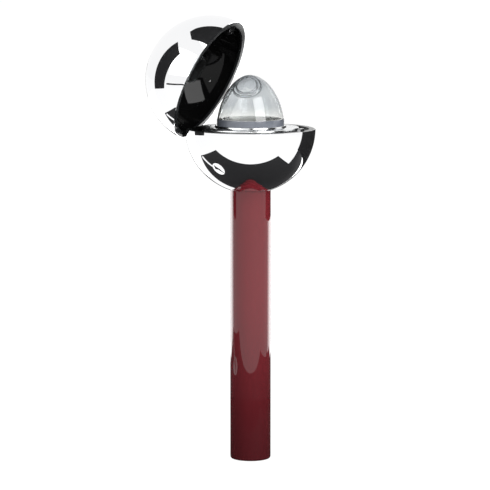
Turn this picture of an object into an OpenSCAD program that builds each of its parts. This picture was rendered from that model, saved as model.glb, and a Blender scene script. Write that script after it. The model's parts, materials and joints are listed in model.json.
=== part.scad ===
// Hand-held ball shaker: a ball that opens like a clam shell on a straight handle.
// The ball's lower half holds loose pellets under a deck with a clear dome on it.
// Origin: centre of the handle's free end, with +Z along the handle to the ball.
// The hinge is on the -X side and its pin runs along Y. The lid is drawn open.

/* [Ball] */
// Outside diameter of the ball
ball_d = 80; // [78:1:98]
// Thickness of the two pressed shells
shell_wall = 1.2; // [1:0.1:1.5]
// Thickness of the mouldings inside the shells
liner_wall = 1.75; // [1.5:0.05:2.1]
// Width of the flat rings that cover the moulding edges
rim_ring_w = 2.65; // [2.2:0.05:3.2]
// Thickness of those rings
rim_ring_t = 1.6; // [1.3:0.1:2]
// Gap between the two halves when the ball is shut
parting_gap = 0.3; // [0.2:0.05:0.6]

/* [Handle] */
// Outside diameter of the handle
handle_d = 25; // [21:1:30]
// Length of the handle below the ball
handle_len = 168; // [120:1:220]
// Wall of the handle tube
handle_wall = 2; // [1.6:0.1:3]
// Rounding of the free end's edge
end_round = 1.8; // [0.8:0.1:1.9]
// Length of the threaded plug in the top of the tube
top_plug_len = 24; // [20:1:40]
// Length of the plug in the free end
end_plug_len = 9; // [6:1:20]
// Diameter of the bolt that holds the ball on the handle
bolt_d = 6; // [5:0.5:8]

/* [Deck and dome] */
// Depth of the deck below the rim
deck_recess = 1.5; // [1:0.1:2]
// Thickness of the deck
deck_t = 1.5; // [1.2:0.1:2]
// Diameter of the trim flange around the dome
flange_d = 60; // [56:1:60]
// Height of the trim flange above the rim plane
flange_top = 1; // [0.8:0.1:1.4]
// Diameter that the dome's curve has at the rim plane
dome_d = 41.6; // [36:0.2:50]
// Height of the dome above the rim plane
dome_h = 33; // [26:0.5:34]
// Wall of the dome
dome_wall = 1.8; // [1.4:0.1:2.4]
// Height of the grey band at the dome's foot
band_h = 4.9; // [3:0.1:5.5]

/* [Hinge] */
// Distance of the pin inside the ball's outer surface, at the rim
pin_inset = 3.8; // [3.6:0.1:4.6]
// Depth of the pin below the rim plane
pin_drop = 6.6; // [6.2:0.1:8]
// Diameter of the pin
pin_d = 2.5; // [2:0.1:3]
// Angle through which the lid opens
lid_open = 65; // [50:1:80]
// Width of the hinge block
hinge_w = 22; // [20:0.5:24]
// Width of the lid's knuckle
knuckle_w = 12; // [10:0.5:13]

/* [Sound chamber] */
// Diameter of a pellet
pellet_d = 4; // [3:0.5:5]
// Number of rings of pellets round the middle
pellet_rings = 3; // [1:1:3]
// Depth of the sound plate's top below the rim plane
floor_drop = 21; // [19:0.5:23]

/* [Hidden] */

round_fn = 120;
small_fn = 48;
far = 400;

// Clearances, each on one side
seat_gap = 0.1;
close_fit = 0.02;
run_fit = 0.05;
free_gap = 0.3;

ball_r = ball_d / 2;
shell_ri = ball_r - shell_wall;
liner_ro = shell_ri - 1.5 * seat_gap;
liner_ri = liner_ro - liner_wall;
ring_ri = liner_ro - rim_ring_w;
half_gap = parting_gap / 2;
ring_far_z = half_gap + rim_ring_t;

handle_r = handle_d / 2;
bore_r = handle_r - handle_wall;
ball_z = handle_len + sqrt(ball_r * ball_r - handle_r * handle_r);
cope_r = ball_r + seat_gap / 2;

// Fastening between the ball and the handle, in the ball's own frame
bolt_r = bolt_d / 2;
bolt_head_r = bolt_d * 5 / 6;
bolt_head_h = bolt_d;
saddle_r = 1.5 * bolt_d;
saddle_top = -(shell_ri - 4.3);
washer_t = 1.5;
bolt_seat = saddle_top + washer_t;
bolt_grip = 18;
bolt_len = bolt_seat + ball_r + bolt_grip;

// Deck
deck_top = -half_gap - deck_recess;
deck_low = deck_top - deck_t;
deck_r = ring_ri - 2 * seat_gap;
deck_screw_r = deck_r - 2;
ledge_ri = ring_ri - 4;
ledge_t = 1.6;
liner_depth = floor_drop + 3;
plate_t = 1.5;
chamber_ri = 24;

// Dome: superellipse outline with this exponent, and the collar of the flange round its band
dome_power = 1.9;
dome_r = dome_d / 2;
band_ro = dome_r - 0.15;
band_top = flange_top + band_h;
dome_shoulder = band_top + seat_gap;
foot_ro = dome_r - 1.9;
foot_ri = dome_r - 3.6;
foot_low = flange_top + 0.3;
lip_w = 0.6;
lip_h = 0.9;
band_seat = flange_top - 0.5;
seal_r = (foot_ro + foot_ri) / 2;
seal_tube = 0.55;
groove_half = seal_tube + seat_gap;
groove_low = foot_low - 2 * seal_tube - 2.5 * close_fit;
flange_ri = dome_r - 4.3;
flange_r = flange_d / 2;
collar_w = 1.2;
collar_h = 1;
flange_screw_r = (dome_r + flange_r) / 2;

// Hinge
pin_r = pin_d / 2;
pin_x = -(ball_r - pin_inset);
pin_z = -pin_drop;
knuckle_r = pin_r + 1.35;
gap_half = knuckle_w / 2 + free_gap;
block_half = hinge_w / 2;
block_depth = pin_drop + knuckle_r + 4.8;
block_skin_r = ball_r - seat_gap;
nose_len = knuckle_r + 1.5;
nose_t = 1.6;
nose_rest = 40;
nose_sweep = sqrt(nose_len * nose_len + nose_t * nose_t / 4) + 0.25;
lip_z = nose_len * sin(nose_rest) + nose_t / 2 * cos(nose_rest) + 0.15;
web_out = 1.6;
web_in = 2;
block_in = nose_sweep + 1.5;
relief_r = pin_drop - 0.25;
tab_t = 2.1;
tab_h = 6;
tab_half = 8;
tab_seat = liner_ri - seat_gap - tab_t + 0.1;
tab_screw_turn = 9;
tab_screw_drop = asin((block_depth + 0.55 * tab_h) / liner_ri);
pad_screw_turn = 5;
pad_screw_rise = 14;

// Small screws that hold the inner parts
screw_r = 1.2;
screw_head_r = 2.1;
screw_head_h = 1.3;

// Magnetic catch on the +X side
catch_half = 4.2;
catch_wall = 1.1;
catch_out = sqrt(ring_ri * ring_ri - catch_half * catch_half) - 1.5 * seat_gap;
catch_in = catch_out - 4.5;
cup_low = deck_low - 6;
magnet_low = cup_low + 4.5;
magnet_proud = 0.9;
striker_low = magnet_proud + free_gap;
striker_t = 1.4;
housing_h = 7;
cup_seat = catch_in + 1;
cup_screw_drop = atan(-(cup_low + magnet_low) / 2 / catch_out);
housing_screw_rise = atan((housing_h - 1.7) / catch_out);

module at_ball() { translate([0, 0, ball_z]) children(); }

// Turns the lid's pieces from shut to fully open about the pin
module at_open_lid() {
  at_ball() translate([pin_x, 0, pin_z]) rotate([0, -lid_open, 0])
    translate([-pin_x, 0, -pin_z]) children();
}

// Carries children from +X to a place on a sphere round the ball's centre
module on_sphere(azimuth, elevation) { rotate([0, 0, azimuth]) rotate([0, -elevation, 0]) children(); }

module along_pin(r, length) {
  translate([pin_x, 0, pin_z]) rotate([90, 0, 0]) cylinder(r = r, h = length, center = true, $fn = small_fn);
}

// Box from its two corners
module span(low, high) { translate(low) cube(high - low); }

// Screw along +X whose head ends at the seat
module wall_screw(seat, length) {
  translate([seat - screw_head_h, 0, 0]) rotate([0, 90, 0])
    cylinder(r = screw_head_r, h = screw_head_h, $fn = small_fn);
  translate([seat - seat_gap, 0, 0]) rotate([0, 90, 0])
    cylinder(r = screw_r, h = length + seat_gap, $fn = small_fn);
}

// Hole for such a screw, with a flat for its head
module wall_hole(clearance, seat = 0) {
  rotate([0, 90, 0]) cylinder(r = screw_r + clearance, h = liner_ro - seat_gap, $fn = small_fn);
  if (seat > 0) rotate([0, 90, 0])
    cylinder(r = screw_head_r + seat_gap, h = seat + close_fit, $fn = small_fn);
}

// Screw that stands up through a seat at z, with its head below
module deck_screw(z, length) {
  translate([0, 0, z - screw_head_h]) cylinder(r = screw_head_r, h = screw_head_h, $fn = small_fn);
  translate([0, 0, z - seat_gap]) cylinder(r = screw_r, h = length + seat_gap, $fn = small_fn);
}

module four_round(radius) {
  for (i = [0 : 3]) rotate([0, 0, 45 + 90 * i]) translate([radius, 0, 0]) children();
}

// ---- Handle ----

module handle_tube() {
  color([0.38, 0.11, 0.13]) rotate_extrude($fn = round_fn) difference() {
    union() {
      square([handle_r - end_round, ball_z]);
      translate([0, end_round]) square([handle_r, ball_z - end_round]);
      translate([handle_r - end_round, end_round]) circle(r = end_round, $fn = small_fn);
    }
    translate([0, -1]) square([bore_r, ball_z + 2]);
    translate([0, ball_z]) circle(r = cope_r, $fn = round_fn);
  }
}

module handle_end_plug() {
  color([0.3, 0.09, 0.1]) difference() {
    cylinder(r = bore_r - seat_gap / 2, h = end_plug_len, $fn = round_fn);
    translate([0, 0, 2]) cylinder(r = bore_r - 3, h = end_plug_len, $fn = round_fn);
  }
}

module handle_top_plug() {
  color("silver") at_ball() rotate_extrude($fn = round_fn) difference() {
    translate([bolt_r + close_fit, -ball_r - top_plug_len])
      square([bore_r - seat_gap / 2 - bolt_r - close_fit, top_plug_len + handle_r]);
    circle(r = cope_r, $fn = round_fn);
  }
}

// ---- Ball fastening ----

module ball_saddle() {
  color("silver") at_ball() rotate_extrude($fn = round_fn) difference() {
    intersection() {
      circle(r = shell_ri - seat_gap / 2, $fn = round_fn);
      translate([0, -ball_r]) square([saddle_r, ball_r + saddle_top]);
    }
    translate([0, -ball_r]) square([bolt_r + seat_gap, ball_r]);
  }
}

module ball_spring_washer() {
  color("dimgray") at_ball() translate([0, 0, saddle_top]) difference() {
    cylinder(r = bolt_head_r + 0.5, h = washer_t, $fn = small_fn);
    translate([0, 0, -1]) cylinder(r = bolt_r + seat_gap, h = washer_t + 2, $fn = small_fn);
    translate([0, -0.4, -1]) cube([bolt_head_r + 1, 0.8, washer_t + 2]);
  }
}

module ball_bolt() {
  color("dimgray") at_ball() difference() {
    union() {
      translate([0, 0, bolt_seat]) cylinder(r = bolt_head_r, h = bolt_head_h, $fn = small_fn);
      translate([0, 0, bolt_seat - bolt_len]) cylinder(r = bolt_r, h = bolt_len + 1, $fn = small_fn);
    }
    translate([0, 0, bolt_seat + bolt_head_h / 2]) cylinder(r = bolt_r * 0.9, h = bolt_head_h, $fn = 6);
  }
}

// ---- Lower half of the ball ----

// Room that the hinge block takes out of the lower half
module hinge_pocket() {
  span([-far, -block_half - seat_gap, -block_depth - seat_gap],
    [pin_x + block_in + seat_gap, block_half + seat_gap, far]);
}

// Room that the lid's heel swings through, above a cylinder round the pin
module heel_relief() {
  translate([pin_x, 0, pin_z]) difference() {
    span([-far, -far, 0], [0, far, far]);
    rotate([90, 0, 0]) cylinder(r = relief_r, h = 3 * far, center = true, $fn = round_fn);
  }
}

module catch_pocket() {
  span([catch_in - seat_gap, -catch_half - seat_gap, cup_low - seat_gap],
    [ring_ri, catch_half + seat_gap, far]);
}

module base_bowl() {
  color([0.86, 0.87, 0.89]) at_ball() difference() {
    rotate_extrude($fn = round_fn) difference() {
      intersection() {
        circle(r = ball_r, $fn = round_fn);
        translate([0, -ball_r]) square([ball_r, ball_r - half_gap]);
      }
      circle(r = shell_ri, $fn = round_fn);
      translate([0, -ball_r - 1]) square([bolt_r + seat_gap, ball_r]);
    }
    hinge_pocket();
    heel_relief();
  }
}

module base_liner() {
  color([0.05, 0.05, 0.055]) at_ball() difference() {
    rotate_extrude($fn = round_fn) intersection() {
      circle(r = liner_ro, $fn = round_fn);
      union() {
        difference() {
          translate([0, -liner_depth]) square([ball_r, liner_depth - ring_far_z]);
          circle(r = liner_ri, $fn = round_fn);
        }
        translate([ledge_ri, deck_low - ledge_t]) square([ring_ri + 1 - ledge_ri, ledge_t]);
        translate([chamber_ri, -liner_depth])
          square([liner_ri - chamber_ri, liner_depth - floor_drop - plate_t - seat_gap]);
      }
    }
    hinge_pocket();
    heel_relief();
    catch_pocket();
    four_round(deck_screw_r) translate([0, 0, deck_low - ledge_t - 1])
      cylinder(r = screw_r + seat_gap, h = ledge_t + 2, $fn = small_fn);
    for (side = [-1, 1]) on_sphere(180 + side * tab_screw_turn, -tab_screw_drop) wall_hole(close_fit);
    on_sphere(0, -cup_screw_drop) wall_hole(close_fit);
  }
}

module base_rim_ring() {
  color([0.42, 0.43, 0.44]) at_ball() difference() {
    rotate_extrude($fn = round_fn) intersection() {
      circle(r = liner_ro, $fn = round_fn);
      translate([ring_ri, -ring_far_z + close_fit]) square([rim_ring_w, rim_ring_t - close_fit]);
    }
    hinge_pocket();
    heel_relief();
  }
}

module sound_plate() {
  color("silver") at_ball() translate([0, 0, -floor_drop - plate_t])
    cylinder(r = sqrt(pow(liner_ri, 2) - pow(floor_drop + plate_t, 2)) - free_gap, h = plate_t,
      $fn = round_fn);
}

module shaker_pellets() {
  color("silver") at_ball() translate([0, 0, -floor_drop + pellet_d / 2 + close_fit]) {
    sphere(d = pellet_d, $fn = small_fn);
    for (ring = [1 : pellet_rings]) for (i = [0 : 6 * ring - 1])
      rotate([0, 0, 60 / ring * i]) translate([1.6 * pellet_d * ring, 0, 0])
        sphere(d = pellet_d, $fn = small_fn);
  }
}

module deck_plate() {
  color([0.8, 0.82, 0.83]) at_ball() difference() {
    translate([0, 0, deck_low]) cylinder(r = deck_r, h = deck_t, $fn = round_fn);
    hinge_pocket();
    catch_pocket();
    four_round(deck_screw_r) translate([0, 0, deck_low - 1])
      cylinder(r = screw_r + close_fit, h = 1 + deck_t - 0.4, $fn = small_fn);
    rotate([0, 0, 45]) four_round(flange_screw_r) translate([0, 0, deck_low - 1])
      cylinder(r = screw_r + seat_gap, h = deck_t + 2, $fn = small_fn);
  }
}

module deck_screws() {
  color("dimgray") at_ball() four_round(deck_screw_r) deck_screw(deck_low - ledge_t, ledge_t + deck_t - 0.6);
}

// ---- Dome ----

module dome_flange() {
  edge = 1;
  color([0.85, 0.86, 0.87]) at_ball() difference() {
    rotate_extrude($fn = round_fn) difference() {
      union() {
        translate([flange_ri, deck_top]) square([flange_r - flange_ri - edge, flange_top - deck_top]);
        translate([flange_ri, deck_top]) square([flange_r - flange_ri, flange_top - deck_top - edge]);
        translate([flange_r - edge, flange_top - edge]) circle(r = edge, $fn = small_fn);
        translate([band_ro, flange_top - edge]) square([seat_gap / 2 + collar_w, edge + collar_h]);
      }
      translate([foot_ro + seat_gap / 2, band_seat]) square([band_ro + seat_gap - foot_ro, far]);
      translate([seal_r - groove_half, groove_low]) square([2 * groove_half, far]);
    }
    rotate([0, 0, 45]) four_round(flange_screw_r) translate([0, 0, deck_top - 1])
      cylinder(r = screw_r + close_fit, h = flange_top - deck_top, $fn = small_fn);
  }
}

module flange_screws() {
  color("dimgray") at_ball() rotate([0, 0, 45]) four_round(flange_screw_r)
    deck_screw(deck_low, flange_top - deck_low - 1.2);
}

module dome_seal() {
  color([0.1, 0.1, 0.1]) at_ball() rotate_extrude($fn = round_fn)
    translate([seal_r, foot_low - seal_tube - close_fit]) circle(r = seal_tube, $fn = small_fn);
}

module dome_band() {
  color([0.45, 0.48, 0.52]) at_ball() rotate_extrude($fn = round_fn) difference() {
    translate([foot_ro + seat_gap, band_seat + close_fit])
      square([band_ro - foot_ro - seat_gap, band_top - band_seat - close_fit]);
    square([foot_ro + lip_w + seat_gap, foot_low + lip_h + seat_gap]);
  }
}

// Point of the dome's outline, with the curve's own radius and height
function dome_point(radius, height, t) =
  [radius * pow(cos(t), 2 / dome_power), height * pow(sin(t), 2 / dome_power)];
function dome_start(height) = asin(pow(dome_shoulder / height, dome_power / 2));

module clear_dome() {
  steps = 20;
  inner_r = dome_r - dome_wall;
  inner_h = dome_h - dome_wall;
  outer = [for (i = [0 : steps])
    dome_point(dome_r, dome_h, dome_start(dome_h) + (90 - dome_start(dome_h)) * i / steps)];
  inner = [for (i = [steps : -1 : 0])
    dome_point(inner_r, inner_h, dome_start(inner_h) + (90 - dome_start(inner_h)) * i / steps)];
  foot = [[foot_ri, foot_low], [foot_ro + lip_w, foot_low], [foot_ro + lip_w, foot_low + lip_h],
    [foot_ro, foot_low + lip_h], [foot_ro, dome_shoulder]];
  color([0.85, 0.88, 0.9, 0.4]) at_ball() rotate_extrude($fn = round_fn) polygon(concat(foot, outer, inner));
}

// ---- Magnetic catch ----

module magnet_cup() {
  color([0.06, 0.06, 0.06]) at_ball() difference() {
    span([catch_in, -catch_half, cup_low], [catch_out, catch_half, -half_gap - 1]);
    span([catch_in + catch_wall, -catch_half + catch_wall, magnet_low - seat_gap],
      [catch_out - catch_wall, catch_half - catch_wall, far]);
    on_sphere(0, -cup_screw_drop) wall_hole(seat_gap, cup_seat);
  }
}

module catch_magnet() {
  inset = catch_wall + seat_gap;
  color("silver") at_ball() span([catch_in + inset, -catch_half + inset, magnet_low],
    [catch_out - inset, catch_half - inset, magnet_proud]);
}

module magnet_cup_screw() {
  color("dimgray") at_ball() on_sphere(0, -cup_screw_drop)
    wall_screw(cup_seat, liner_ro - cup_seat - 3 * seat_gap);
}

// ---- Hinge ----

module hinge_block() {
  top = -half_gap - 0.15;
  color([0.05, 0.05, 0.05]) at_ball() difference() {
    union() {
      intersection() {
        sphere(r = block_skin_r, $fn = round_fn);
        difference() {
          span([-ball_r, -block_half, -block_depth], [pin_x + block_in, block_half, top]);
          span([-far, -gap_half, pin_z - knuckle_r - 0.8], [pin_x + nose_sweep, gap_half, far]);
        }
      }
      span([pin_x + web_in + 0.4, -gap_half - 1, pin_z + lip_z], [pin_x + block_in, gap_half + 1, top]);
      difference() {
        intersection() {
          sphere(r = liner_ri - seat_gap, $fn = round_fn);
          span([-far, -tab_half, -block_depth - tab_h], [0, tab_half, -block_depth + 0.5]);
        }
        sphere(r = liner_ri - seat_gap - tab_t, $fn = round_fn);
      }
    }
    heel_relief();
    along_pin(pin_r + close_fit, hinge_w + 2);
    for (side = [-1, 1]) on_sphere(180 + side * tab_screw_turn, -tab_screw_drop) wall_hole(seat_gap, tab_seat);
  }
}

module hinge_block_screws() {
  color("dimgray") at_ball() for (side = [-1, 1]) on_sphere(180 + side * tab_screw_turn, -tab_screw_drop)
    wall_screw(tab_seat, liner_ro - tab_seat - 3 * seat_gap);
}

module hinge_pin() { color("silver") at_ball() along_pin(pin_r, hinge_w - 1.2); }

module lid_hinge_arm() {
  pad_half = knuckle_w / 2 - 0.2;
  pad_h = 13;
  color([0.05, 0.05, 0.05]) at_open_lid() difference() {
    union() {
      along_pin(knuckle_r, knuckle_w);
      span([pin_x - web_out, -pad_half, pin_z], [pin_x + web_in, pad_half, ring_far_z - seat_gap]);
      translate([pin_x, 0, pin_z]) rotate([0, lid_open - nose_rest, 0])
        span([0, -pad_half, -nose_t / 2], [nose_len, pad_half, nose_t / 2]);
      difference() {
        intersection() {
          sphere(r = liner_ri - seat_gap, $fn = round_fn);
          span([-far, -pad_half, half_gap], [0, pad_half, pad_h]);
        }
        sphere(r = liner_ri - seat_gap - tab_t, $fn = round_fn);
      }
    }
    along_pin(pin_r + run_fit, hinge_w + 2);
    for (side = [-1, 1]) on_sphere(180 + side * pad_screw_turn, pad_screw_rise) wall_hole(seat_gap, tab_seat);
  }
}

module hinge_arm_screws() {
  color("dimgray") at_open_lid() for (side = [-1, 1]) on_sphere(180 + side * pad_screw_turn, pad_screw_rise)
    wall_screw(tab_seat, liner_ro - tab_seat - 3 * seat_gap);
}

// ---- Lid ----

module lid_shell() {
  color([0.86, 0.87, 0.89]) at_open_lid() rotate_extrude($fn = round_fn) difference() {
    intersection() {
      circle(r = ball_r, $fn = round_fn);
      translate([0, half_gap]) square([ball_r, ball_r]);
    }
    circle(r = shell_ri, $fn = round_fn);
  }
}

module lid_liner() {
  color([0.05, 0.05, 0.055]) at_open_lid() difference() {
    rotate_extrude($fn = round_fn) difference() {
      intersection() {
        circle(r = liner_ro, $fn = round_fn);
        translate([0, ring_far_z]) square([ball_r, ball_r]);
      }
      circle(r = liner_ri, $fn = round_fn);
    }
    for (side = [-1, 1]) on_sphere(180 + side * pad_screw_turn, pad_screw_rise) wall_hole(close_fit);
    on_sphere(0, housing_screw_rise) wall_hole(close_fit);
  }
}

module lid_rim_ring() {
  color([0.42, 0.43, 0.44]) at_open_lid() difference() {
    rotate_extrude($fn = round_fn) intersection() {
      circle(r = liner_ro, $fn = round_fn);
      translate([ring_ri, half_gap]) square([rim_ring_w, rim_ring_t - close_fit]);
    }
    span([-far, -gap_half, -far], [0, gap_half, far]);
    span([0, -catch_half - seat_gap, -far], [ring_ri + 1, catch_half + seat_gap, far]);
  }
}

module lid_catch_housing() {
  color([0.04, 0.04, 0.04]) at_open_lid() difference() {
    intersection() {
      sphere(r = liner_ri - seat_gap, $fn = round_fn);
      span([catch_in, -catch_half, half_gap], [ring_ri + 0.8, catch_half, housing_h]);
    }
    span([catch_in + catch_wall - free_gap, -catch_half + catch_wall - free_gap, -far],
      [catch_out - catch_wall + free_gap, catch_half - catch_wall + free_gap, striker_low + striker_t]);
    on_sphere(0, housing_screw_rise) wall_hole(seat_gap, cup_seat);
  }
}

module lid_striker() {
  inset = catch_wall - 2 * seat_gap;
  color("silver") at_open_lid() span([catch_in + inset, -catch_half + inset, striker_low],
    [catch_out - inset, catch_half - inset, striker_low + striker_t - close_fit]);
}

module catch_housing_screw() {
  color("dimgray") at_open_lid() on_sphere(0, housing_screw_rise)
    wall_screw(cup_seat, liner_ro - cup_seat - 3 * seat_gap);
}

handle_tube();
handle_end_plug();
handle_top_plug();
ball_bolt();
ball_spring_washer();
ball_saddle();
base_bowl();
base_liner();
base_rim_ring();
sound_plate();
shaker_pellets();
deck_plate();
deck_screws();
dome_flange();
flange_screws();
dome_seal();
dome_band();
clear_dome();
magnet_cup();
catch_magnet();
magnet_cup_screw();
hinge_block();
hinge_block_screws();
hinge_pin();
lid_hinge_arm();
hinge_arm_screws();
lid_shell();
lid_liner();
lid_rim_ring();
lid_catch_housing();
lid_striker();
catch_housing_screw();
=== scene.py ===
import json
import math

import bpy
from mathutils import Matrix, Quaternion, Vector


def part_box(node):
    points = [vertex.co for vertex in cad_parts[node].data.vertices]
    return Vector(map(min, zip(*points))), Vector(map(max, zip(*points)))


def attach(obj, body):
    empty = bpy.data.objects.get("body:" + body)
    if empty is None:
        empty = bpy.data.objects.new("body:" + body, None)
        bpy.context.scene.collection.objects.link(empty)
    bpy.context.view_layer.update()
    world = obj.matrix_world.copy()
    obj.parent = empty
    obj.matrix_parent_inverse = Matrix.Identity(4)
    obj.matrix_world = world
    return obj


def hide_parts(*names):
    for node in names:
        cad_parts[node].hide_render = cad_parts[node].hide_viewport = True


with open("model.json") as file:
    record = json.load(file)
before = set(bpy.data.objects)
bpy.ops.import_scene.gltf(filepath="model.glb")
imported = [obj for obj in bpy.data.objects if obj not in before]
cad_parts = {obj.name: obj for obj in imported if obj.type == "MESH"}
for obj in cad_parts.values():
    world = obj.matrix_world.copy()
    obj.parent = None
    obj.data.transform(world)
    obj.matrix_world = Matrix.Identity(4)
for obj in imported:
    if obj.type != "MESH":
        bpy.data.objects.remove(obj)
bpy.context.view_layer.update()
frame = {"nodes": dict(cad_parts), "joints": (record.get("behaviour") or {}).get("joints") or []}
nodes = frame["nodes"]

# ---- Handle tube ----
# The grip is a drawn steel tube with a rounded lower edge. It is lacquered in burgundy
# under a thick clear coat, and its top is cut to the curve of the ball that stands on it.

MM = 0.001
ball_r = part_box("base_bowl")[1].x
half_gap = 0.15 * MM
centre_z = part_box("base_bowl")[1].z + half_gap
handle_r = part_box("handle_tube")[1].x
handle_wall = 2 * MM
end_round = 1.8 * MM


def rest_all():
    """Leaves edit mode and clears the selection."""
    if bpy.context.object and bpy.context.object.mode == "EDIT":
        bpy.ops.object.mode_set(mode="OBJECT")
    bpy.ops.object.select_all(action="DESELECT")


def settle(name):
    """Ends the work on the active piece: its place goes into its mesh."""
    rest_all()
    piece = bpy.context.object
    piece.select_set(True)
    bpy.ops.object.transform_apply(location=True, rotation=True, scale=True)
    piece.name = piece.data.name = name
    return piece


def lathe(name, outline, sides=160):
    """Turns a closed outline of (radius, height) points about Z, one extruded ring at a time."""
    rest_all()
    radius, height = outline[0]
    bpy.ops.mesh.primitive_circle_add(
        vertices=sides, radius=radius, location=(0, 0, height), enter_editmode=True)
    bpy.ops.mesh.select_all(action="SELECT")
    for radius_next, height_next in outline[1:]:
        bpy.ops.mesh.extrude_edges_move(
            TRANSFORM_OT_translate={"value": (0, 0, height_next - height)})
        share = radius_next / radius
        bpy.ops.transform.resize(value=(share, share, 1), center_override=(0, 0, height_next))
        radius, height = radius_next, height_next
    bpy.ops.mesh.select_all(action="SELECT")
    bpy.ops.mesh.remove_doubles(threshold=1e-6)
    bpy.ops.mesh.normals_make_consistent(inside=False)
    piece = settle(name)
    bpy.ops.object.shade_smooth_by_angle(angle=math.radians(35))
    return piece


def arc(radius, height, size, start, end, steps):
    """Points of an arc round (radius, height), from one angle in degrees to another."""
    angles = [math.radians(start + (end - start) * i / steps) for i in range(steps + 1)]
    return [(radius + size * math.cos(a), height + size * math.sin(a)) for a in angles]


def cope(radius):
    """Height of the ball's underside at a distance from the axis."""
    return centre_z - math.sqrt((ball_r + 0.05 * MM) ** 2 - radius ** 2)


inner_r = handle_r - handle_wall
top_steps = [handle_r - handle_wall * i / 4 for i in range(5)]
body_steps = [end_round + (cope(handle_r) - end_round) * i / 12 for i in range(1, 12)]
outline = arc(handle_r - end_round, end_round, end_round, -90, 0, 8)
outline += [(handle_r, height) for height in body_steps]
outline += [(radius, cope(radius)) for radius in top_steps]
outline += [(inner_r, 0), outline[0]]
handle = lathe("handle", outline)


class Wire:
    """One socket of a material's nodes. Sums, products and powers of wires add Math nodes."""

    def __init__(self, tree, socket=None):
        self.tree = tree
        self.socket = socket

    def make(self, kind, settings, inputs, output=0):
        """Adds a node, makes its settings first, fills its sockets and returns one output."""
        node = self.tree.nodes.new("ShaderNode" + kind)
        stops = settings.pop("stops", [])
        for name, value in settings.items():
            setattr(node, name, value)
        for i, (place, colour) in enumerate(stops):
            elements = node.color_ramp.elements
            stop = elements[i] if i < len(elements) else elements.new(place)
            stop.position, stop.color = place, (*colour, 1)
        for name, value in inputs.items():
            if isinstance(value, Wire):
                self.tree.links.new(value.socket, node.inputs[name])
            else:
                node.inputs[name].default_value = value
        return Wire(self.tree, node.outputs[output])

    def maths(self, operation, first, second):
        return self.make("Math", {"operation": operation}, {0: first, 1: second})

    def __add__(self, other):
        return self.maths("ADD", self, other)

    def __mul__(self, other):
        return self.maths("MULTIPLY", self, other)

    def __pow__(self, other):
        return self.maths("POWER", self, other)

    __radd__ = __add__
    __rmul__ = __mul__

    def place(self):
        """Object coordinates, in metres."""
        return self.make("TexCoord", {}, {}, "Object")

    def height(self):
        """The height over the floor, in metres."""
        return self.make("SeparateXYZ", {}, {"Vector": self.place()}, "Z")

    def noise(self, scale, detail=3.0, stretch=(1, 1, 1)):
        """Soft random variation from 0 to 1, with an average of a half."""
        spot = self.make("Mapping", {}, {"Vector": self.place(), "Scale": stretch})
        return self.make("TexNoise", {}, {"Vector": spot, "Scale": scale, "Detail": detail})

    def blend(self, share, low, high):
        """A colour between two others."""
        return self.make(
            "Mix", {"data_type": "RGBA"},
            {"Factor": share, 6: (*low, 1), 7: (*high, 1)}, 2)

    def relief(self, height, depth):
        """A surface normal from a height of 0 to 1 that stands for a depth in metres."""
        return self.make("Bump", {}, {"Height": height, "Strength": 1.0, "Distance": depth})


def finish_named(name, **constant):
    """A material whose shader has these constant sockets. Returns it, its shader and a wire."""
    material = bpy.data.materials.new(name)
    material.use_nodes = True
    shader = material.node_tree.nodes["Principled BSDF"]
    for socket, value in constant.items():
        shader.inputs[socket.replace("_", " ")].default_value = value
    return material, shader, Wire(material.node_tree)


def feed(shader, **varying):
    """Links wires to a shader's sockets."""
    for socket, wire in varying.items():
        wire.tree.links.new(wire.socket, shader.inputs[socket.replace("_", " ")])


# The lacquer's colour grows darker towards the free end over its lowest 110 mm: painted shade that
# stands in for the light falling off down the handle.
painted_shade_up_to = 110 * MM
lacquer, shader, wire = finish_named(
    "burgundy_lacquer", Coat_Weight=1.0, Coat_Roughness=0.02, Coat_IOR=1.52,
    Specular_IOR_Level=0.0)
depth = wire.make("MapRange", {"interpolation_type": "SMOOTHSTEP"}, {
    "Value": wire.height(), "From Min": 0.0, "From Max": painted_shade_up_to})
streaks = wire.noise(60, 4, (1, 1, 0.12))
peel = wire.noise(700, 2)
# The painted shade is mixed with random streaks of tone in the lacquer.
streaks_and_painted_shade = 0.75 * depth + 0.25 * streaks
feed(
    shader,
    Base_Color=wire.blend(streaks_and_painted_shade, (0.050, 0.0075, 0.0095), (0.165, 0.016, 0.022)),
    Roughness=0.30 + 0.12 * wire.noise(180),
    Normal=wire.relief(peel, 0.004 * MM))
handle.data.materials.append(lacquer)
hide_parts("handle_tube")
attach(handle, "handle_and_base")

# ---- Plugs of the handle ----
# The free end is closed by a lacquered plug pressed in flush. The top holds a turned
# aluminium plug, bonded inside the tube, whose thread takes the bolt of the ball.

def refinish(material, *names):
    """Gives pieces of the frame a finish."""
    for name in names:
        for material_slot in nodes[name].material_slots:
            material_slot.material = material


groove_pitch = 0.35 * MM
turned, shader, wire = finish_named("turned_aluminium", Metallic=1.0)
grooves = wire.make(
    "Math", {"operation": "SINE"}, {0: wire.height() * (2 * math.pi / groove_pitch)})
cloud = wire.noise(90)
feed(
    shader,
    Base_Color=wire.blend(cloud, (0.66, 0.67, 0.69), (0.80, 0.81, 0.83)),
    Roughness=0.24 + 0.16 * cloud,
    Normal=wire.relief(0.5 + 0.5 * grooves, 0.006 * MM))
refinish(lacquer, "handle_end_plug")
refinish(turned, "handle_top_plug")

# ---- Bolt of the ball ----
# A blackened socket screw goes down through the ball's floor into the handle. A turned
# saddle spreads its load inside the thin shell, and a split washer keeps it tight.

blackened, shader, wire = finish_named("blackened_steel", Metallic=0.9)
cloud = wire.noise(250, 4)
feed(
    shader,
    Base_Color=wire.blend(cloud, (0.030, 0.031, 0.034), (0.085, 0.083, 0.080)),
    Roughness=0.32 + 0.22 * cloud,
    Normal=wire.relief(wire.noise(2500, 2), 0.004 * MM))
refinish(turned, "ball_saddle")
refinish(blackened, "ball_spring_washer", "ball_bolt")

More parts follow.
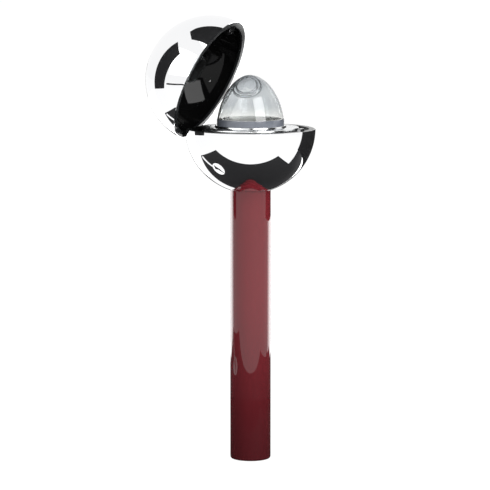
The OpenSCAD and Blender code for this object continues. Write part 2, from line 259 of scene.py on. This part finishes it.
# ---- Lower half of the ball ----
# A steel sheet is pressed into a half ball, polished and plated to a mirror. It is
# notched for the hinge, relieved beside it for the lid's heel, and drilled for the bolt.

shell_wall = 1.2 * MM
edge_flat = 0.4 * MM
pin = Vector(frame["joints"][0]["pos_m"])


def half_ball(radius, wall, edge_z, upper):
    """A half ball about the ball's centre, cut at a height over it, with its wall inside."""
    rest_all()
    bpy.ops.mesh.primitive_uv_sphere_add(
        segments=192, ring_count=96, radius=radius, location=(0, 0, centre_z), enter_editmode=True)
    bpy.ops.mesh.select_all(action="SELECT")
    bpy.ops.mesh.bisect(
        plane_co=(0, 0, centre_z + edge_z), plane_no=(0, 0, 1), use_fill=False,
        clear_inner=upper, clear_outer=not upper)
    bpy.ops.object.mode_set(mode="OBJECT")
    piece = bpy.context.object
    skin = piece.modifiers.new("wall", "SOLIDIFY")
    skin.thickness = wall
    skin.offset = -1
    bpy.ops.object.modifier_apply(modifier=skin.name)
    return piece


def open_edge(piece, edge_z):
    """Thins the wall at the edge, where the rim ring beds against a chamfer inside it."""
    rest_all()
    bpy.context.view_layer.objects.active = piece
    piece.select_set(True)
    bpy.ops.object.mode_set(mode="EDIT")
    bpy.ops.mesh.select_all(action="DESELECT")
    bpy.ops.object.mode_set(mode="OBJECT")
    for vertex in piece.data.vertices:
        at_edge = abs(vertex.co.z - edge_z) < 0.02 * MM
        vertex.select = at_edge and math.hypot(vertex.co.x, vertex.co.y) < ball_r - shell_wall / 2
    bpy.ops.object.mode_set(mode="EDIT")
    share = (ball_r - edge_flat) / (ball_r - shell_wall)
    bpy.ops.transform.resize(value=(share, share, 1), center_override=(0, 0, centre_z))
    bpy.ops.object.mode_set(mode="OBJECT")


def cut_away(piece, cutter):
    """Takes the cutter's shape out of a piece and throws the cutter away."""
    rest_all()
    bpy.context.view_layer.objects.active = piece
    piece.select_set(True)
    cut = piece.modifiers.new("cut", "BOOLEAN")
    cut.operation = "DIFFERENCE"
    cut.solver = "EXACT"
    cut.object = cutter
    bpy.ops.object.modifier_apply(modifier=cut.name)
    bpy.data.objects.remove(cutter)


def block(low, high):
    """A box between two corners."""
    rest_all()
    low, high = Vector(low), Vector(high)
    bpy.ops.mesh.primitive_cube_add(size=1, location=(low + high) / 2, scale=high - low)
    return settle("cutter")


def shade(piece):
    """Makes a piece the active one and shades its curves smooth."""
    rest_all()
    bpy.context.view_layer.objects.active = piece
    piece.select_set(True)
    bpy.ops.object.shade_smooth_by_angle(angle=math.radians(30))


block_low, block_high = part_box("hinge_block")
notch_gap = 0.1 * MM
notch_depth = 14.1 * MM
notch_reach = 6.25 * MM
heel_path_r = 6.35 * MM
bolt_hole_r = 3.1 * MM
bowl = half_ball(ball_r, shell_wall, -half_gap, False)
settle("bowl")
open_edge(bowl, centre_z - half_gap)


def notch(piece):
    """Cuts the hinge's notch and the relief beside it for the lid's heel."""
    cut_away(piece, block(
        (-1.2 * ball_r, block_low.y - notch_gap, centre_z - notch_depth),
        (pin.x + notch_reach, block_high.y + notch_gap, centre_z + 0.1 * ball_r)))
    relief_cutter = block((-1.2 * ball_r, -ball_r, pin.z), (pin.x, ball_r, centre_z + 2 * MM))
    rest_all()
    bpy.ops.mesh.primitive_cylinder_add(
        vertices=180, radius=heel_path_r, depth=3 * ball_r, location=pin,
        rotation=(math.pi / 2, 0, 0))
    cut_away(relief_cutter, settle("heel_path"))
    cut_away(piece, relief_cutter)


notch(bowl)
rest_all()
bpy.ops.mesh.primitive_cylinder_add(
    vertices=64, radius=bolt_hole_r, depth=4 * MM, location=(0, 0, centre_z - ball_r))
cut_away(bowl, settle("cutter"))
shade(bowl)

mirror, shader, wire = finish_named("mirror_plate", Metallic=1.0)
haze = wire.noise(38, 4)
feed(
    shader,
    Base_Color=wire.blend(haze, (0.90, 0.905, 0.92), (0.945, 0.945, 0.95)),
    Roughness=0.012 + 0.03 * haze ** 2.0,
    Normal=wire.relief(wire.noise(24, 1), 0.05 * MM))
bowl.data.materials.append(mirror)
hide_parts("base_bowl")
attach(bowl, "handle_and_base")

# ---- Moulding and rim ring of the lower half ----
# A glossy black moulding lines the bowl and carries the deck on a ledge. A flat ring of
# dark grey plastic is pressed over its edge, inside the thin plated rim.

gloss_black, shader, wire = finish_named("gloss_black", IOR=1.45, Specular_IOR_Level=0.2)
haze = wire.noise(45, 3)
feed(
    shader,
    Base_Color=wire.blend(haze, (0.0025, 0.0025, 0.0027), (0.0045, 0.0045, 0.0045)),
    Roughness=0.035 + 0.05 * haze ** 2.0,
    Normal=wire.relief(wire.noise(60, 1), 0.03 * MM))
ring_grey, shader, wire = finish_named("ring_grey", IOR=1.5, Specular_IOR_Level=0.06)
grain = wire.noise(420, 3)
feed(
    shader,
    Base_Color=wire.blend(grain, (0.010, 0.011, 0.012), (0.022, 0.023, 0.024)),
    Roughness=0.10 + 0.08 * grain,
    Normal=wire.relief(grain, 0.003 * MM))
refinish(gloss_black, "base_liner")

ring_in = 36 * MM
ring_out = ball_r - edge_flat - 0.1 * MM
ring_deep = 1.73 * MM
ring_edge = 0.22 * MM
bevel_top = 1.3 * MM
bevel_r = ball_r - bevel_top
bevel_end_r = ball_r - 1.4 * MM


def rim_ring(name, side):
    """The ring of a half ball, on the side of the parting plane that is given as 1 or -1."""
    profile = [(ring_in, half_gap + ring_edge), (ring_in + ring_edge, half_gap),
               (ring_out - ring_edge, half_gap), (ring_out, half_gap + ring_edge),
               (bevel_r, bevel_top), (bevel_end_r, ring_deep), (ring_in, ring_deep)]
    profile.append(profile[0])
    return lathe(name, [(radius, centre_z + side * depth) for radius, depth in profile], 192)


ring = rim_ring("bowl_rim_ring", -1)
notch(ring)
shade(ring)
ring.data.materials.append(ring_grey)
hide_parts("base_rim_ring")
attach(ring, "handle_and_base")

# ---- Sound plate and pellets ----
# The chamber's floor is a sheared aluminium disc, and loose steel balls lie on it and
# strike it. Both are shut in under the deck.

polished, shader, wire = finish_named("polished_steel", Metallic=1.0)
haze = wire.noise(400, 3)
feed(
    shader,
    Base_Color=wire.blend(haze, (0.62, 0.62, 0.63), (0.76, 0.76, 0.77)),
    Roughness=0.10 + 0.12 * haze)
refinish(turned, "sound_plate")
refinish(polished, "shaker_pellets")

# ---- Deck ----
# The deck is a plated disc that lies on the moulding's ledge, held by four screws from
# below, so its top shows no fastener.

plated, shader, wire = finish_named("plated_deck", Metallic=1.0)
haze = wire.noise(55, 4)
feed(
    shader,
    Base_Color=wire.blend(haze, (0.80, 0.82, 0.83), (0.88, 0.89, 0.90)),
    Roughness=0.13 + 0.08 * haze,
    Normal=wire.relief(wire.noise(40, 1), 0.03 * MM))
refinish(plated, "deck_plate")
refinish(blackened, "deck_screws")

# ---- Trim flange of the dome ----
# A turned and plated ring surrounds the dome's foot. Its outer edge is rounded, a low
# collar stands round the band, and a groove takes the rubber ring, the band and the dome.

flange_low, flange_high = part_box("dome_flange")
flange_r = flange_high.x
edge_round = 1 * MM
bore_r = 16.5 * MM
groove_r = 17.4 * MM
groove_end_r = 18.7 * MM
lip_seat_r = 18.95 * MM
seat_r = 20.75 * MM
groove_z = centre_z + 0.15 * MM
seat_z = centre_z + 0.5 * MM
collar_z = flange_high.z
land_z = collar_z - 1 * MM
collar_r = 21.9 * MM
collar_edge = 0.35 * MM
outline = [(bore_r, flange_low.z), (flange_r, flange_low.z)]
outline += arc(flange_r - edge_round, land_z - edge_round, edge_round, 0, 90, 8)
outline += [(collar_r + collar_edge, land_z)]
outline += arc(collar_r - collar_edge, collar_z - collar_edge, collar_edge, 0, 90, 4)
outline += [(seat_r, collar_z), (seat_r, seat_z), (lip_seat_r, seat_z), (lip_seat_r, land_z),
            (groove_end_r, land_z), (groove_end_r, groove_z), (groove_r, groove_z),
            (groove_r, land_z), (bore_r, land_z), outline[0]]
flange = lathe("dome_trim", outline, 192)
flange.data.materials.append(plated)
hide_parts("dome_flange")
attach(flange, "handle_and_base")
refinish(blackened, "flange_screws")

# ---- Rubber ring of the dome ----
# A moulded rubber ring lies in the flange's groove and stops the dome from buzzing.

rubber, shader, wire = finish_named("seal_rubber", IOR=1.5)
bloom = wire.noise(500, 4)
feed(
    shader,
    Base_Color=wire.blend(bloom, (0.012, 0.012, 0.012), (0.030, 0.030, 0.029)),
    Roughness=0.55 + 0.25 * bloom,
    Normal=wire.relief(bloom, 0.01 * MM))
refinish(rubber, "dome_seal")

# ---- Band of the dome ----
# A blue-grey enamelled band clips round the dome's foot and stands in the flange's groove.
# Its edges are broken, and its inner side is painted pale: painted light that stands in for the
# light shining through the dome's foot.

band_low, band_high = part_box("dome_band")
band_r = band_high.x
band_in = 19.0 * MM
lip_r = 19.6 * MM
lip_top = centre_z + 2.3 * MM
edge = 0.25 * MM
outline = [(band_in, band_low.z), (band_r - edge, band_low.z), (band_r, band_low.z + edge)]
outline += arc(band_r - edge, band_high.z - edge, edge, 0, 90, 4)
outline += [(band_in, band_high.z), (band_in, lip_top + 0.1 * MM), (lip_r, lip_top),
            (lip_r, band_low.z + 0.2 * MM), outline[0]]
band = lathe("dome_foot_band", outline, 160)
painted_light_pale, shader, wire = finish_named("painted_light_pale", IOR=1.5)
cloud = wire.noise(150, 3)
feed(
    shader,
    Base_Color=wire.blend(cloud, (0.90, 0.90, 0.88), (0.94, 0.94, 0.92)),
    Roughness=0.30 + 0.15 * cloud)
blue_grey, shader, wire = finish_named(
    "blue_grey_band", IOR=1.5, Coat_Weight=0.5, Coat_Roughness=0.05)
cloud = wire.noise(120, 3, (1, 1, 4))
feed(
    shader,
    Base_Color=wire.blend(cloud, (0.135, 0.148, 0.178), (0.190, 0.205, 0.238)),
    Roughness=0.16 + 0.10 * cloud)
band.data.materials.append(blue_grey)
band.data.materials.append(painted_light_pale)
# The inward-facing faces take the pale finish, as painted light for the light that shines through
# the dome's foot.
for face in band.data.polygons:
    if face.center.xy.dot(face.normal.xy) < -0.5 * face.center.xy.length:
        face.material_index = 1
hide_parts("dome_band")
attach(band, "handle_and_base")

# ---- Clear dome ----
# The dome is moulded in clear plastic with a thin, even wall, and its colour darkens with height
# above its foot, most of all at its top. Its foot has a small lip under the band, and a plain
# round badge of two raised beads stands out of its front, near the top.

dome_power = 1.9
dome_r = 20.8 * MM
dome_h = 33 * MM
dome_wall = 0.6 * MM
shoulder = band_high.z - centre_z + 0.1 * MM
side_steps = 44
axis_r = 1e-7


def dome_side(radius, height):
    """Outline of the dome's curve, from its shoulder up to the axis."""
    start = math.asin((shoulder / height) ** (dome_power / 2))
    angles = [start + (math.pi / 2 - start) * i / side_steps for i in range(side_steps)]
    side = [(radius * math.cos(a) ** (2 / dome_power),
             centre_z + height * math.sin(a) ** (2 / dome_power)) for a in angles]
    return side + [(axis_r, centre_z + height)]


foot_r = 18.9 * MM
lip_wide = 0.6 * MM
foot_in = 17.2 * MM
foot_z = centre_z + 1.3 * MM
foot_top = centre_z + 2.2 * MM
outer = dome_side(dome_r, dome_h)
inner = dome_side(dome_r - dome_wall, dome_h - dome_wall)
foot = [(foot_in, foot_z), (foot_r + lip_wide, foot_z), (foot_r + lip_wide, foot_top),
        (foot_r, foot_top), (foot_r, centre_z + shoulder)]
dome = lathe("clear_dome_shell", inner[::-1] + foot + outer, 192)

badge_turn = math.radians(9)
badge_rise = math.radians(55)
badge_r = 8.6 * MM
badge_bead = 0.6 * MM
badge_step = 2.1 * MM
badge_off_axis = 10.4 * MM
badge_height = 28 * MM
badge_lift = 4 * MM
badge_search = 9 * MM
badge_spot = Vector((
    badge_off_axis * math.sin(badge_turn),
    -badge_off_axis * math.cos(badge_turn),
    centre_z + badge_height))
badge_out = Vector((
    math.cos(badge_rise) * math.sin(badge_turn),
    -math.cos(badge_rise) * math.cos(badge_turn),
    math.sin(badge_rise)))


def badge_ring(name, ring_r):
    """A raised bead that follows the dome's skin in a circle about the badge's middle."""
    rest_all()
    bpy.ops.mesh.primitive_torus_add(
        major_segments=120, minor_segments=16, major_radius=ring_r, minor_radius=badge_bead,
        location=badge_spot + badge_lift * badge_out,
        rotation=badge_out.to_track_quat("Z", "Y").to_euler())
    piece = settle(name)
    for vertex in piece.data.vertices:
        spoke = vertex.co - badge_spot
        lift = spoke.dot(badge_out) - badge_lift
        flat = spoke - spoke.dot(badge_out) * badge_out
        vertex.co = skin_under(badge_spot + flat) + lift * badge_out
    bpy.ops.object.shade_smooth()
    return piece


def skin_under(spot):
    """Where a line through a spot, along the badge's axis, meets the dome's skin."""
    near, apart = -badge_search, badge_search
    for _ in range(40):
        middle = (near + apart) / 2
        point = spot + middle * badge_out
        radius = math.hypot(point.x, point.y) / dome_r
        height = max(point.z - centre_z, 0) / dome_h
        if radius ** dome_power + height ** dome_power < 1:
            near = middle
        else:
            apart = middle
    return spot + near * badge_out


tint_from = centre_z + 5 * MM
clear_plastic, shader, wire = finish_named("clear_moulding", Transmission_Weight=1.0, IOR=1.45)
haze = wire.noise(140, 4)
share = wire.make("MapRange", {}, {
    "Value": wire.height(), "From Min": tint_from, "From Max": centre_z + dome_h})
# The colour goes from pale just above the foot to darkest at the top.
tint_by_height = wire.make("ValToRGB", {"stops": (
    (0.0, (0.95, 0.95, 0.94)), (0.12, (0.85, 0.86, 0.85)), (0.3, (0.70, 0.72, 0.73)),
    (0.6, (0.74, 0.76, 0.77)), (1.0, (0.56, 0.58, 0.60)))}, {"Fac": share})
feed(
    shader,
    Base_Color=tint_by_height,
    Roughness=0.02 + 0.05 * haze ** 2.0)
for piece in (dome, badge_ring("dome_badge_outer", badge_r),
              badge_ring("dome_badge_inner", badge_r - badge_step)):
    piece.data.materials.append(clear_plastic)
    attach(piece, "handle_and_base")
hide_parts("clear_dome")

# ---- Catch of the lower half ----
# A black cup stands in the rim opposite the hinge. It holds a small plated magnet and is
# fixed through the moulding by one blackened screw.

refinish(gloss_black, "magnet_cup")
refinish(polished, "catch_magnet")
refinish(blackened, "magnet_cup_screw")

# ---- Hinge ----
# A black moulded block fills the notch in the bowl and holds the ends of a ground steel
# pin. The lid's arm turns on the pin between its cheeks, down to a stop inside it.

refinish(gloss_black, "hinge_block", "lid_hinge_arm")
refinish(polished, "hinge_pin")
refinish(blackened, "hinge_block_screws", "hinge_arm_screws")

# ---- Upper half of the ball ----
# The lid is pressed and plated like the bowl. It is made shut here, over the bowl, and
# then turned back about the pin to where its stop holds it.

lid_turn = (Matrix.Translation(pin)
            @ Matrix.Rotation(-math.radians(frame["joints"][0]["range_deg"][1]), 4, "Y")
            @ Matrix.Translation(-pin))


def open_up(piece, name):
    """Turns a piece of the lid from shut to open, and ends the work on it."""
    rest_all()
    bpy.context.view_layer.objects.active = piece
    piece.select_set(True)
    piece.matrix_world = lid_turn @ piece.matrix_world
    return settle(name)


lid = half_ball(ball_r, shell_wall, half_gap, True)
settle("lid")
open_edge(lid, centre_z + half_gap)
shade(lid)
lid = open_up(lid, "lid")
lid.data.materials.append(mirror)
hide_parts("lid_shell")
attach(lid, "lid")

# ---- Moulding of the lid ----
# A glossy black half ball lines the lid. It is sprung in behind the rim ring and held by
# the screws of the arm and the catch.

liner_r = 38.65 * MM
liner_wall = 1.75 * MM
liner = half_ball(liner_r, liner_wall, ring_deep + 0.02 * MM, True)
settle("lid_lining")
shade(liner)
liner = open_up(liner, "lid_lining")
liner.data.materials.append(gloss_black)
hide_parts("lid_liner")
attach(liner, "lid")

# ---- Rim ring of the lid ----
# The same dark ring as on the bowl closes the lid's rim. It is interrupted for the
# hinge's arm and for the catch.

catch_half = 4.3 * MM
catch_reach = 37 * MM
arm_half = 6.3 * MM
ring = rim_ring("lid_rim_ring_fitted", 1)
cut_away(ring, block((-ball_r, -arm_half, centre_z - ball_r), (0, arm_half, centre_z + ball_r)))
cut_away(ring, block(
    (0, -catch_half, centre_z - ball_r), (catch_reach, catch_half, centre_z + ball_r)))
shade(ring)
ring = open_up(ring, "lid_rim_ring_fitted")
ring.data.materials.append(ring_grey)
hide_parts("lid_rim_ring")
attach(ring, "lid")

# ---- Catch of the lid ----
# A black housing sits in the lid's edge and shows a plain steel striker, which the
# magnet takes hold of. One blackened screw fixes it through the moulding.

refinish(gloss_black, "lid_catch_housing")
refinish(polished, "lid_striker")
refinish(blackened, "catch_housing_screw")

# ---- Floor, light and camera ----
# A plain pale floor and a plain white surround, with soft panels of light. For the mirror
# and the black gloss to show, there are dark boards that only reflections see, and on one
# of them lies a pale disc with a stalk and a dark mark.

def looked_at(wire):
    """1 for rays that show a surface to the viewer, 0 for rays that only light the object."""
    camera_ray = wire.make("LightPath", {}, {}, "Is Camera Ray")
    glossy_ray = wire.make("LightPath", {}, {}, "Is Glossy Ray")
    return camera_ray + glossy_ray + wire.make("LightPath", {}, {}, "Is Transmission Ray")


rest_all()
bpy.ops.mesh.primitive_plane_add(size=12, location=(0, 0, 0))
floor = settle("floor")
pale = bpy.data.materials.new("pale_floor")
pale.use_nodes = True
wire = Wire(pale.node_tree)
paper = wire.make("BsdfDiffuse", {}, {"Color": (0.90, 0.90, 0.90, 1)}, "BSDF")
glow = wire.make("Emission", {}, {"Color": (1, 1, 1, 1), "Strength": 1.12}, "Emission")
share = wire.make(
    "Math", {"operation": "MULTIPLY", "use_clamp": True}, {0: looked_at(wire), 1: 0.9})
surface = wire.make("MixShader", {}, {0: share, 1: paper, 2: glow}, "Shader")
wire.tree.links.new(surface.socket, wire.tree.nodes["Material Output"].inputs["Surface"])
floor.data.materials.append(pale)

world = bpy.data.worlds.new("surround")
bpy.context.scene.world = world
world.use_nodes = True
wire = Wire(world.node_tree)
level = wire.make(
    "Math", {"operation": "MULTIPLY_ADD", "use_clamp": True},
    {0: looked_at(wire), 1: 0.68, 2: 0.32})
background = world.node_tree.nodes["Background"]
world.node_tree.links.new(level.socket, background.inputs["Strength"])
background.inputs["Color"].default_value = (1, 1, 1, 1)

view_turn = math.radians(22.6)
view_rise = math.radians(7)
to_viewer = Vector((
    math.sin(view_turn) * math.cos(view_rise),
    -math.cos(view_turn) * math.cos(view_rise),
    math.sin(view_rise)))
to_right = Vector((math.cos(view_turn), math.sin(view_turn), 0))
to_top = to_viewer.cross(to_right)
aim_left = 3.4 * MM
aim_down = 71.8 * MM
aim = Vector((0, 0, centre_z)) - aim_left * to_right - aim_down * to_top
ahead = Vector((to_viewer.x, to_viewer.y, 0)).normalized()


def facing(turn, rise, distance):
    """A place round the ball and the way out to it. The turn goes from the viewer's side
    towards the right, and both angles are in degrees."""
    turn, rise = math.radians(turn), math.radians(rise)
    flat = math.cos(turn) * ahead + math.sin(turn) * to_right
    outward = math.cos(rise) * flat + math.sin(rise) * Vector((0, 0, 1))
    return Vector((0, 0, centre_z)) + distance * outward, outward


def softbox(name, turn, rise, distance, width, height, watts):
    """A soft panel of light that faces the ball, with its sizes in metres."""
    spot, outward = facing(turn, rise, distance)
    panel = bpy.data.lights.new(name, "AREA")
    panel.shape = "RECTANGLE"
    panel.size, panel.size_y, panel.energy = width, height, watts
    holder = bpy.data.objects.new(name, panel)
    holder.location = spot
    holder.rotation_mode = "QUATERNION"
    holder.rotation_quaternion = outward.to_track_quat("Z", "Y")
    bpy.context.scene.collection.objects.link(holder)


softbox("panel_right", 37, 27, 1.3, 0.85, 1.0, 16)
softbox("panel_left", -60, 30, 1.4, 1.0, 1.0, 4)
softbox("panel_top", 20, 80, 1.3, 0.9, 0.9, 3)
softbox("strip_left", -138, -17, 0.44, 0.34, 0.16, 0.45)
softbox("strip_right", 138, -17, 0.44, 0.34, 0.16, 0.45)
softbox("small_lamp", 0, 7, 1.9, 0.04, 0.04, 0.5)

board_black = bpy.data.materials.new("board_black")
board_black.use_nodes = True
shader = board_black.node_tree.nodes["Principled BSDF"]
shader.inputs["Base Color"].default_value = (0.004, 0.004, 0.005, 1)
shader.inputs["Roughness"].default_value = 0.9
board_white = bpy.data.materials.new("board_white")
board_white.use_nodes = True
wire = Wire(board_white.node_tree)
glow = wire.make("Emission", {}, {"Color": (1, 1, 1, 1), "Strength": 1.2}, "Emission")
wire.tree.links.new(glow.socket, wire.tree.nodes["Material Output"].inputs["Surface"])


def reflected_only(board, finish=board_black):
    """Leaves a board to reflections: it isn't seen and it takes no light away."""
    board.visible_camera = board.visible_diffuse = board.visible_shadow = False
    board.visible_transmission = board.visible_volume_scatter = False
    board.data.materials.append(finish)


def upright_board(name, turn, rise, distance, width, height, roll=0):
    """A dark board that faces the ball, with its sizes in metres."""
    spot, outward = facing(turn, rise, distance)
    rest_all()
    bpy.ops.mesh.primitive_plane_add(size=1, location=spot)
    board = bpy.context.object
    board.scale = (width, height, 1)
    board.rotation_mode = "QUATERNION"
    board.rotation_quaternion = (outward.to_track_quat("Z", "Y")
                                 @ Quaternion((0, 0, 1), math.radians(roll)))
    reflected_only(settle(name))


floor_gap = 0.5 * MM


def block_board(name, right, near, top):
    """A dark block just over the floor, between two distances to the right and two towards
    the viewer."""
    middle = sum(right) / 2 * to_right + sum(near) / 2 * ahead
    middle.z = top / 2 + floor_gap
    rest_all()
    bpy.ops.mesh.primitive_cube_add(size=1, location=middle, rotation=(0, 0, view_turn))
    bpy.context.object.scale = (right[1] - right[0], near[1] - near[0], top)
    reflected_only(settle(name))


def level_board(name, height, corners, finish=board_black):
    """A level board, with corners at distances to the right and towards the viewer."""
    rest_all()
    bpy.ops.mesh.primitive_circle_add(vertices=len(corners), fill_type="NGON")
    for vertex, (right, near) in zip(bpy.context.object.data.vertices, corners):
        vertex.co = right * to_right + near * ahead + Vector((0, 0, height))
    reflected_only(settle(name), finish)


under_top = 38.2 * MM
disc_level = under_top + 1.3 * MM
mark_level = disc_level + 1 * MM
disc_right, disc_near, disc_r = -0.134, -0.009, 0.039
disc_turns = [2 * math.pi * i / 32 for i in range(32)]
block_board("board_under", (-0.284, 0.178), (-0.134, 0.116), under_top)
level_board("light_disc", disc_level, [
    (disc_right + disc_r * math.cos(a), disc_near + disc_r * math.sin(a))
    for a in disc_turns], board_white)
level_board("light_stalk", disc_level, (
    (-0.165, -0.030), (-0.160, -0.042), (-0.262, -0.118), (-0.273, -0.098)), board_white)
level_board("light_mark", mark_level, (
    (-0.166, -0.016), (-0.139, -0.030), (-0.127, -0.013), (-0.088, -0.003), (-0.127, 0.000)))
level_board("board_over", 1.4, (
    (-0.56, 0.03), (-0.53, -0.45), (-0.35, -0.53), (0.5, -0.53), (0.5, 0.5), (-0.13, 0.44)))
level_board("board_floor_right", 1 * MM, (
    (0.18, -0.02), (0.44, -0.085), (0.386, -0.188), (0.288, -0.32), (0.147, -0.404),
    (0.05, -0.42), (0.02, -0.1), (0.15, -0.1)))
upright_board("board_left", -98, 17, 1.2, 0.62, 1.36, -12)
upright_board("board_low_left", -66, -3, 1.2, 0.75, 0.045)
upright_board("board_right", 124, -13, 0.142, 0.165, 0.08)
upright_board("board_front", 50, 34, 1.9, 3.2, 2.6)
upright_board("board_dome_right", 143, 12, 1.2, 0.75, 0.55)
upright_board("board_behind", 180, -11, 0.5, 0.30, 0.24)

camera_data = bpy.data.cameras.new("camera")
camera_data.lens = 250
camera = bpy.data.objects.new("camera", camera_data)
frame_width = 0.3015
distance = frame_width * camera_data.lens / camera_data.sensor_width
camera.location = aim + distance * to_viewer
camera.rotation_mode = "QUATERNION"
camera.rotation_quaternion = to_viewer.to_track_quat("Z", "Y")
bpy.context.scene.collection.objects.link(camera)
bpy.context.scene.camera = camera
bpy.context.scene.view_settings.view_transform = "Standard"
